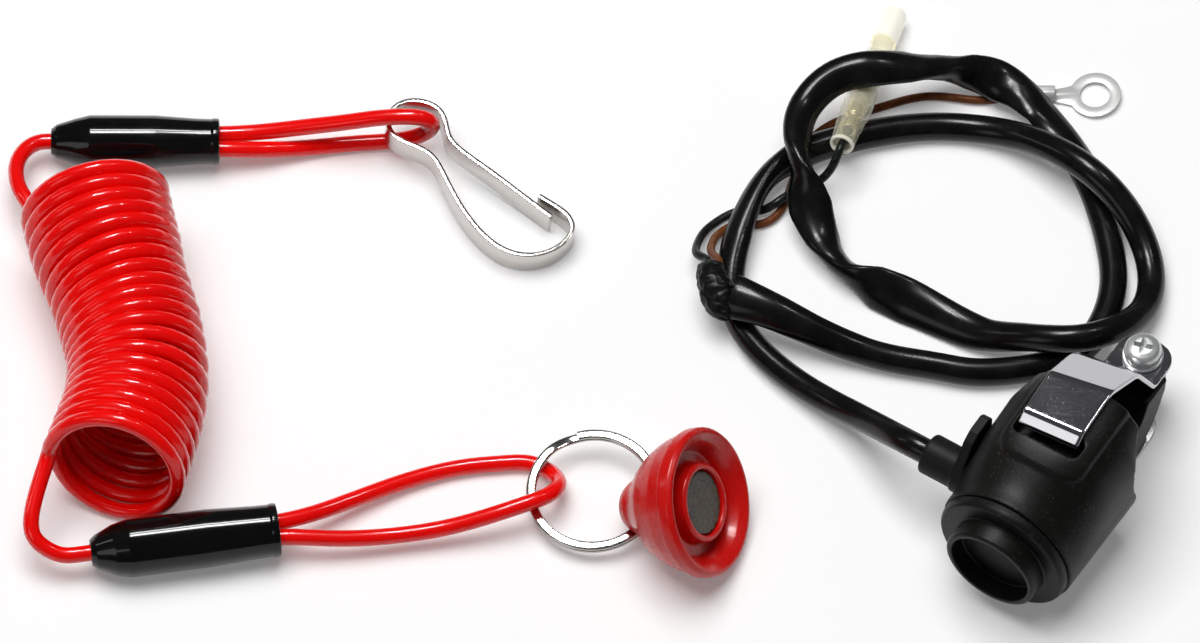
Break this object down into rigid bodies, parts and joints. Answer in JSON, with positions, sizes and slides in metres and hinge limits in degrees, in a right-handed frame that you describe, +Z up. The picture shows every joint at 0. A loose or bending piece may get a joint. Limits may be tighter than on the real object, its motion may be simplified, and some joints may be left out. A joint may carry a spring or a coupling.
{
  "type": "engine kill switch",
  "caption": "Handlebar engine kill switch with a clamp, cable and wire ends, and a curly tether with a snap hook, split ring and pull-off magnet cap.",
  "frame": {"origin": "centre of the base of the set as it lies on the table, measured without the free cords", "axes": "+X to the right along the table, +Y away from the viewer, +Z up; the handlebar's axis runs through the clamp at 32.3 degrees from X, and the nose faces down and left"},
  "size_m": [0.2661, 0.1659, 0.0407],
  "materials": {
    "black_plastic": "satin moulded plastic",
    "black_rubber": "matt rubber",
    "black_vinyl": "glossy soft vinyl",
    "black_tape": "satin adhesive tape",
    "red_cord": "glossy red polyurethane",
    "red_plastic": "glossy red moulded plastic",
    "chrome": "plated sheet steel",
    "nickel": "nickel plated spring steel",
    "zinc": "bright zinc plate",
    "steel": "plain steel",
    "brass": "plain brass",
    "tinned_copper": "tin plate over copper",
    "magnet": "sintered magnet, matt dark grey",
    "brown_insulation": "satin vinyl insulation",
    "clear_sleeve": "clear soft vinyl"
  },
  "bodies": {
    "set": {"switch_housing": "black_plastic", "front_bezel": "black_plastic", "contact_carrier": "black_plastic", "contact_left": "brass", "contact_right": "brass", "clamp_strap": "chrome", "screw_washer": "zinc", "clamp_screw": "zinc", "clamp_nut": "zinc", "cable_gland": "black_rubber", "cable_sleeve": "black_vinyl", "tape_wrap": "black_tape", "black_wire": "black_vinyl", "brown_wire": "brown_insulation", "bullet_sleeve": "clear_sleeve", "bullet_receptacle": "brass", "ring_terminal": "tinned_copper", "tether_coil": "red_cord", "tether_lead_upper": "red_cord", "tether_lead_lower": "red_cord", "tether_loop_upper": "red_cord", "tether_loop_lower": "red_cord", "upper_boot": "black_vinyl", "lower_boot": "black_vinyl", "upper_ferrule": "steel", "lower_ferrule": "steel", "snap_hook": "nickel", "magnet_cap": "red_plastic", "cap_magnet": "magnet", "return_spring": "steel"},
    "contact_plate": {"contact_plate": "steel"},
    "split_ring": {"split_ring": "nickel"}
  },
  "joints": [
    {"name": "contact_plate_slide", "type": "slide", "parent": "set", "child": "contact_plate", "axis": [-0.5344, -0.8453, 0], "range_m": [0, 0.0011], "stiffness_N_per_m": 300, "springref_m": -0.001, "deforming": ["return_spring"]},
    {"name": "split_ring_turn", "type": "hinge", "parent": "set", "child": "split_ring", "pos_m": [-0.04255, -0.0343, 0.0055], "axis": [-0.052, -0.1045, 0.9932], "continuous": true}
  ]
}
